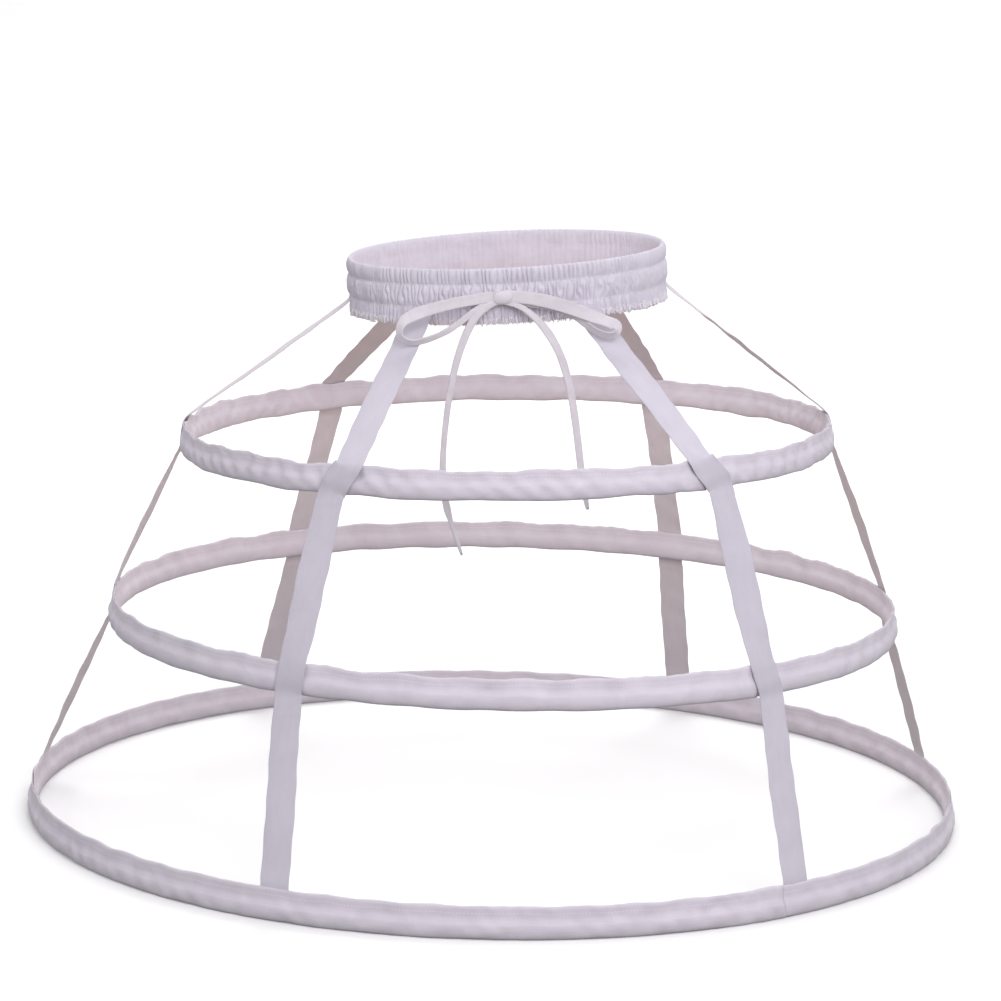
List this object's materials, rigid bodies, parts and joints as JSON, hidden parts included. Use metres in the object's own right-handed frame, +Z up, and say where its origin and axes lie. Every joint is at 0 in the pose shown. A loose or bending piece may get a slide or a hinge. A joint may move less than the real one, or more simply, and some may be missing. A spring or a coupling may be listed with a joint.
{
  "type": "crinoline cage",
  "caption": "Open cage underskirt: cloth-cased hoops hang on flat tapes from a gathered drawstring waistband tied in a bow.",
  "frame": {"origin": "centre of the bottom hoop, on the floor that it stands on", "axes": "+Z up through the waist, -Y towards the front where the bow is tied, +X towards the wearer's left"},
  "size_m": [0.7162, 0.7163, 0.4435],
  "materials": {
    "casing_cloth": "white plain-weave cotton, sewn and puckered",
    "band_cloth": "white plain-weave cotton, tightly gathered",
    "strap_tape": "white twill cotton tape",
    "drawstring": "white soft woven cotton tape",
    "elastic": "white woven elastic",
    "bone": "spring steel strip in a white coating",
    "clip": "pressed steel sleeve"
  },
  "bodies": {
    "root": {"waistband": "band_cloth", "waist_elastic": "elastic", "drawstring_in_band": "drawstring", "bow_knot": "drawstring", "bow_left_loop": "drawstring", "bow_right_loop": "drawstring", "bow_left_tail": "drawstring", "bow_right_tail": "drawstring", "top_hoop_casing": "casing_cloth", "top_hoop_bone": "bone", "top_hoop_clip": "clip", "middle_hoop_casing": "casing_cloth", "middle_hoop_bone": "bone", "middle_hoop_clip": "clip", "bottom_hoop_casing": "casing_cloth", "bottom_hoop_bone": "bone", "bottom_hoop_clip": "clip", "strap_front_left": "strap_tape", "strap_front_right": "strap_tape", "strap_side_left": "strap_tape", "strap_side_right": "strap_tape", "strap_back_left": "strap_tape", "strap_back_right": "strap_tape"}
  },
  "joints": []
}
